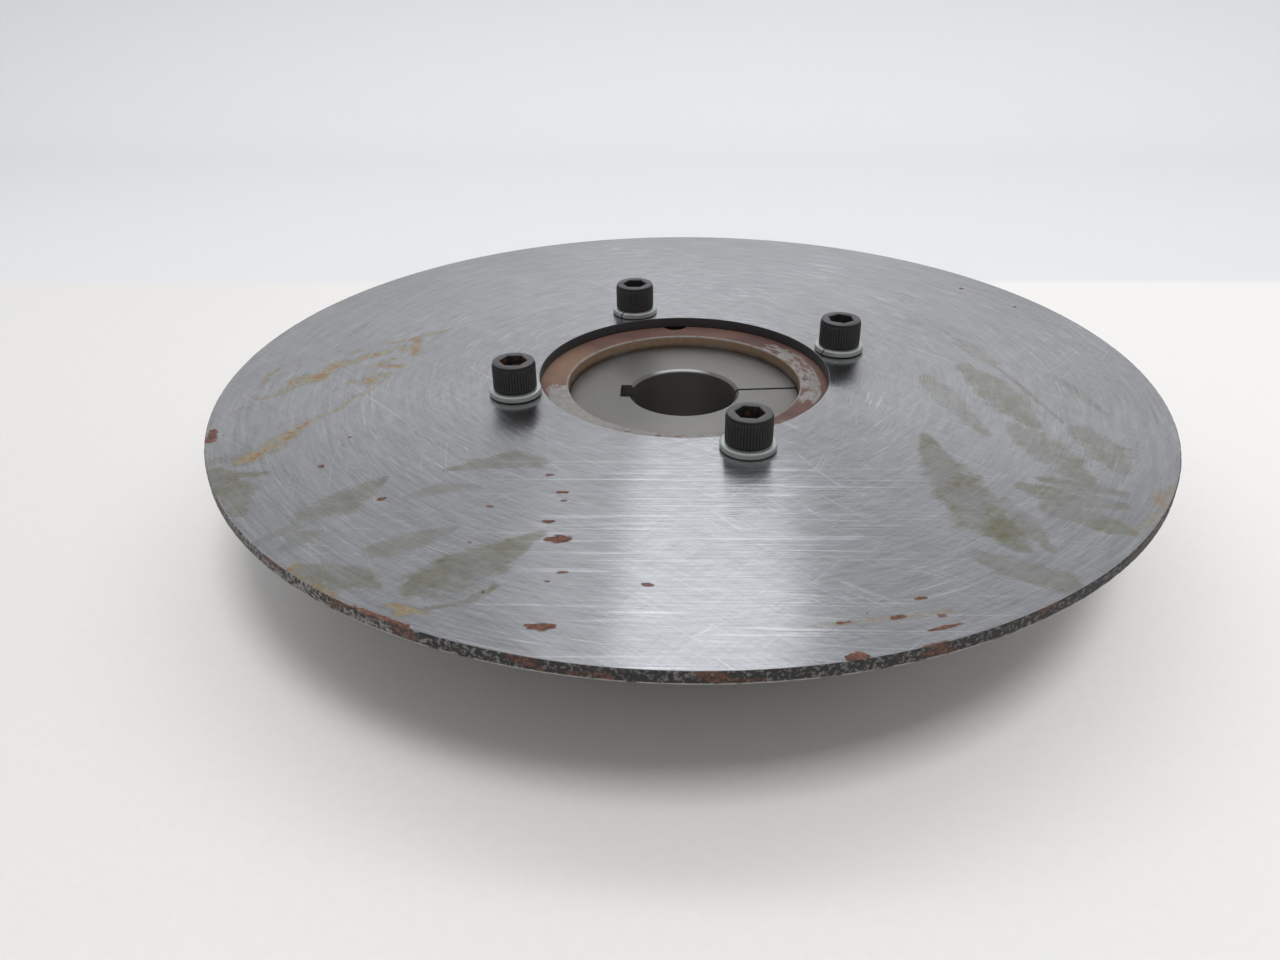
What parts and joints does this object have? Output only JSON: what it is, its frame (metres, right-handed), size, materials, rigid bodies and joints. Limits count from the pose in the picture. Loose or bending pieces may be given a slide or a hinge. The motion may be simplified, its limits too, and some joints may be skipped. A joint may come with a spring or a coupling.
{
  "type": "electromagnetic clutch",
  "caption": "Bearing-mounted electromagnetic clutch: large plain disc screwed to a flanged hub with a split taper bushing, over armature, rotor and field coil shell.",
  "frame": {"origin": "on the shaft's axis, in the plane of the field shell's back face, which the clutch rests on", "axes": "+Z along the shaft's axis from the field shell to the clutch disc; the key-seat faces -X and the torque arm +Y"},
  "size_m": [0.3112, 0.3112, 0.0648],
  "materials": {
    "ground_steel": "ground in circles, worn, with oil stains and light rust",
    "cast_iron": "machined, with brown surface rust",
    "bushing_steel": "satin phosphate",
    "black_oxide": "black oxide, satin",
    "zinc_plate": "zinc plated",
    "spring_steel": "blued spring steel",
    "machined_steel": "turned",
    "friction_lining": "moulded friction material",
    "bearing_steel": "polished",
    "bearing_cage": "pressed sheet",
    "seal_rubber": "moulded",
    "bobbin_plastic": "moulded",
    "copper": "enamelled winding wire",
    "potting": "cast epoxy"
  },
  "bodies": {
    "field": {"field_shell": "machined_steel", "coil_bobbin": "bobbin_plastic", "coil_winding": "copper", "coil_potting": "potting", "field_bearing_outer_race": "bearing_steel", "field_bearing_lower_seal": "seal_rubber", "field_bearing_upper_seal": "seal_rubber", "field_retaining_ring": "spring_steel", "torque_arm": "machined_steel", "torque_arm_screw_1": "black_oxide", "torque_arm_screw_2": "black_oxide", "terminal_block": "bobbin_plastic", "terminal_screw_1": "zinc_plate", "terminal_screw_2": "zinc_plate"},
    "hub": {"clutch_disc": "ground_steel", "hub": "cast_iron", "taper_bushing": "bushing_steel", "bushing_set_screw_1": "black_oxide", "bushing_set_screw_2": "black_oxide", "disc_screw_1": "black_oxide", "disc_screw_2": "black_oxide", "disc_screw_3": "black_oxide", "disc_screw_4": "black_oxide", "lock_washer_1": "zinc_plate", "lock_washer_2": "zinc_plate", "lock_washer_3": "zinc_plate", "lock_washer_4": "zinc_plate", "armature_spring": "spring_steel", "hub_retaining_ring": "spring_steel", "bearing_spacer": "machined_steel", "field_bearing_inner_race": "bearing_steel", "rotor_bearing_inner_race": "bearing_steel"},
    "armature": {"armature_plate": "machined_steel", "armature_rivet_1": "machined_steel", "armature_rivet_2": "machined_steel", "armature_rivet_3": "machined_steel", "armature_rivet_4": "machined_steel"},
    "rotor": {"rotor": "machined_steel", "friction_lining": "friction_lining", "rotor_bearing_outer_race": "bearing_steel", "rotor_bearing_lower_seal": "seal_rubber", "rotor_bearing_upper_seal": "seal_rubber", "rotor_retaining_ring": "spring_steel"},
    "field_cage": {"field_bearing_cage_and_balls": "bearing_cage"},
    "rotor_cage": {"rotor_bearing_cage_and_balls": "bearing_cage"}
  },
  "joints": [
    {"name": "hub_spin", "type": "hinge", "parent": "field", "child": "hub", "pos_m": [0, 0, 0.0114], "axis": [0, 0, 1], "continuous": true},
    {"name": "rotor_spin", "type": "hinge", "parent": "hub", "child": "rotor", "pos_m": [0, 0, 0.0262], "axis": [0, 0, 1], "continuous": true},
    {"name": "armature_slide", "type": "slide", "parent": "hub", "child": "armature", "axis": [0, 0, -1], "range_m": [0, 0.00038], "stiffness_N_per_m": 50000, "springref_m": -0.0005, "deforming": ["armature_spring"]},
    {"name": "field_cage_spin", "type": "hinge", "parent": "field", "child": "field_cage", "pos_m": [0, 0, 0.01135], "axis": [0, 0, 1], "continuous": true},
    {"name": "rotor_cage_spin", "type": "hinge", "parent": "hub", "child": "rotor_cage", "pos_m": [0, 0, 0.02615], "axis": [0, 0, 1], "continuous": true}
  ],
  "couplings": [
    {"joint": "field_cage_spin", "follows": "hub_spin", "ratio": 0.48},
    {"joint": "rotor_cage_spin", "follows": "rotor_spin", "ratio": 0.52}
  ]
}
